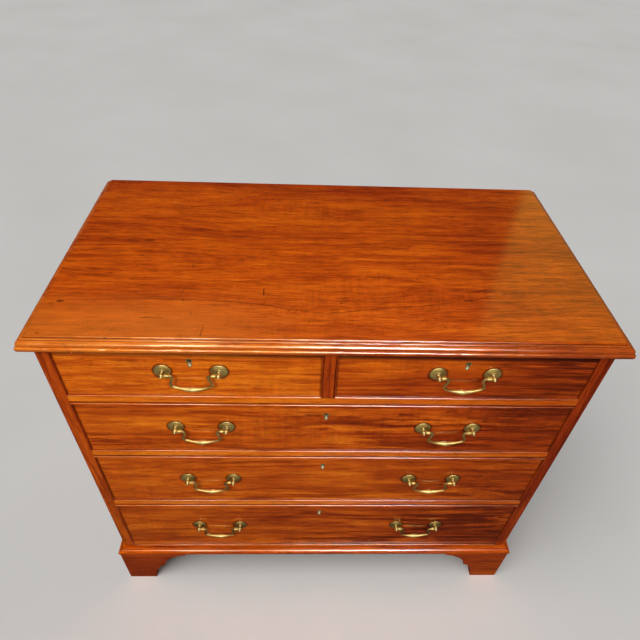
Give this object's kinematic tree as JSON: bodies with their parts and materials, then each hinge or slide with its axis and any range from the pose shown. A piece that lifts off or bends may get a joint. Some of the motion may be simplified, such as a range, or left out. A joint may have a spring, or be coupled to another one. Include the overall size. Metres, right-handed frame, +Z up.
{
  "type": "bachelor's chest",
  "caption": "Small mahogany chest of drawers with a moulded top, cockbeaded short drawers over graduated long drawers, brass swan-neck handles, keyhole linings and bracket feet.",
  "frame": {"origin": "on the floor under the centre of the top board", "axes": "+Z up, drawers open towards -Y, +X to the right seen from the front"},
  "size_m": [0.932, 0.489, 0.832],
  "materials": {
    "mahogany": "glossy french polish",
    "oak": "dry, unpolished",
    "pine": "dry, aged",
    "brass": "antique, worn polish",
    "iron": "dark oxidised"
  },
  "bodies": {
    "case": {"top": "mahogany", "side_left": "mahogany", "side_right": "mahogany", "drawer_rails": "mahogany", "centre_divider": "mahogany", "runners_and_stops": "pine", "dustboards": "pine", "bottom_board": "pine", "back_boards": "pine", "base_moulding": "mahogany", "bracket_feet": "mahogany", "foot_blocks": "pine"},
    "short_left_drawer": {"short_left_front": "mahogany", "short_left_cockbead": "mahogany", "short_left_box": "oak", "short_left_bottom": "oak", "short_left_escutcheon": "brass", "short_left_lock": "iron", "short_left_handle_mounts": "brass"},
    "short_left_bolt": {"short_left_lock_bolt": "iron"},
    "short_left_bail": {"short_left_bail": "brass"},
    "short_right_drawer": {"short_right_front": "mahogany", "short_right_cockbead": "mahogany", "short_right_box": "oak", "short_right_bottom": "oak", "short_right_escutcheon": "brass", "short_right_lock": "iron", "short_right_handle_mounts": "brass"},
    "short_right_bolt": {"short_right_lock_bolt": "iron"},
    "short_right_bail": {"short_right_bail": "brass"},
    "long_upper_drawer": {"long_upper_front": "mahogany", "long_upper_cockbead": "mahogany", "long_upper_box": "oak", "long_upper_bottom": "oak", "long_upper_escutcheon": "brass", "long_upper_lock": "iron", "long_upper_handle_mounts": "brass"},
    "long_upper_bolt": {"long_upper_lock_bolt": "iron"},
    "long_upper_bail_left": {"long_upper_bail_left": "brass"},
    "long_upper_bail_right": {"long_upper_bail_right": "brass"},
    "long_middle_drawer": {"long_middle_front": "mahogany", "long_middle_cockbead": "mahogany", "long_middle_box": "oak", "long_middle_bottom": "oak", "long_middle_escutcheon": "brass", "long_middle_lock": "iron", "long_middle_handle_mounts": "brass"},
    "long_middle_bolt": {"long_middle_lock_bolt": "iron"},
    "long_middle_bail_left": {"long_middle_bail_left": "brass"},
    "long_middle_bail_right": {"long_middle_bail_right": "brass"},
    "long_lower_drawer": {"long_lower_front": "mahogany", "long_lower_cockbead": "mahogany", "long_lower_box": "oak", "long_lower_bottom": "oak", "long_lower_escutcheon": "brass", "long_lower_lock": "iron", "long_lower_handle_mounts": "brass"},
    "long_lower_bolt": {"long_lower_lock_bolt": "iron"},
    "long_lower_bail_left": {"long_lower_bail_left": "brass"},
    "long_lower_bail_right": {"long_lower_bail_right": "brass"}
  },
  "joints": [
    {"name": "short_left_slide", "type": "slide", "parent": "case", "child": "short_left_drawer", "axis": [0, -1, 0], "range_m": [0, 0.34]},
    {"name": "short_left_bolt_throw", "type": "slide", "parent": "short_left_drawer", "child": "short_left_bolt", "axis": [0, 0, 1], "range_m": [0, 0.007]},
    {"name": "short_left_bail_swing", "type": "hinge", "parent": "short_left_drawer", "child": "short_left_bail", "pos_m": [-0.219, -0.238, 0.7564], "axis": [-1, 0, 0], "range_deg": [-10, 180]},
    {"name": "short_right_slide", "type": "slide", "parent": "case", "child": "short_right_drawer", "axis": [0, -1, 0], "range_m": [0, 0.34]},
    {"name": "short_right_bolt_throw", "type": "slide", "parent": "short_right_drawer", "child": "short_right_bolt", "axis": [0, 0, 1], "range_m": [0, 0.007]},
    {"name": "short_right_bail_swing", "type": "hinge", "parent": "short_right_drawer", "child": "short_right_bail", "pos_m": [0.219, -0.238, 0.7564], "axis": [-1, 0, 0], "range_deg": [-10, 180]},
    {"name": "long_upper_slide", "type": "slide", "parent": "case", "child": "long_upper_drawer", "axis": [0, -1, 0], "range_m": [0, 0.34]},
    {"name": "long_upper_bolt_throw", "type": "slide", "parent": "long_upper_drawer", "child": "long_upper_bolt", "axis": [0, 0, 1], "range_m": [0, 0.007]},
    {"name": "long_upper_bail_left_swing", "type": "hinge", "parent": "long_upper_drawer", "child": "long_upper_bail_left", "pos_m": [-0.219, -0.238, 0.6114], "axis": [-1, 0, 0], "range_deg": [-10, 180]},
    {"name": "long_upper_bail_right_swing", "type": "hinge", "parent": "long_upper_drawer", "child": "long_upper_bail_right", "pos_m": [0.219, -0.238, 0.6114], "axis": [-1, 0, 0], "range_deg": [-10, 180]},
    {"name": "long_middle_slide", "type": "slide", "parent": "case", "child": "long_middle_drawer", "axis": [0, -1, 0], "range_m": [0, 0.34]},
    {"name": "long_middle_bolt_throw", "type": "slide", "parent": "long_middle_drawer", "child": "long_middle_bolt", "axis": [0, 0, 1], "range_m": [0, 0.007]},
    {"name": "long_middle_bail_left_swing", "type": "hinge", "parent": "long_middle_drawer", "child": "long_middle_bail_left", "pos_m": [-0.219, -0.238, 0.4424], "axis": [-1, 0, 0], "range_deg": [-10, 180]},
    {"name": "long_middle_bail_right_swing", "type": "hinge", "parent": "long_middle_drawer", "child": "long_middle_bail_right", "pos_m": [0.219, -0.238, 0.4424], "axis": [-1, 0, 0], "range_deg": [-10, 180]},
    {"name": "long_lower_slide", "type": "slide", "parent": "case", "child": "long_lower_drawer", "axis": [0, -1, 0], "range_m": [0, 0.34]},
    {"name": "long_lower_bolt_throw", "type": "slide", "parent": "long_lower_drawer", "child": "long_lower_bolt", "axis": [0, 0, 1], "range_m": [0, 0.007]},
    {"name": "long_lower_bail_left_swing", "type": "hinge", "parent": "long_lower_drawer", "child": "long_lower_bail_left", "pos_m": [-0.219, -0.238, 0.2494], "axis": [-1, 0, 0], "range_deg": [-10, 180]},
    {"name": "long_lower_bail_right_swing", "type": "hinge", "parent": "long_lower_drawer", "child": "long_lower_bail_right", "pos_m": [0.219, -0.238, 0.2494], "axis": [-1, 0, 0], "range_deg": [-10, 180]}
  ]
}
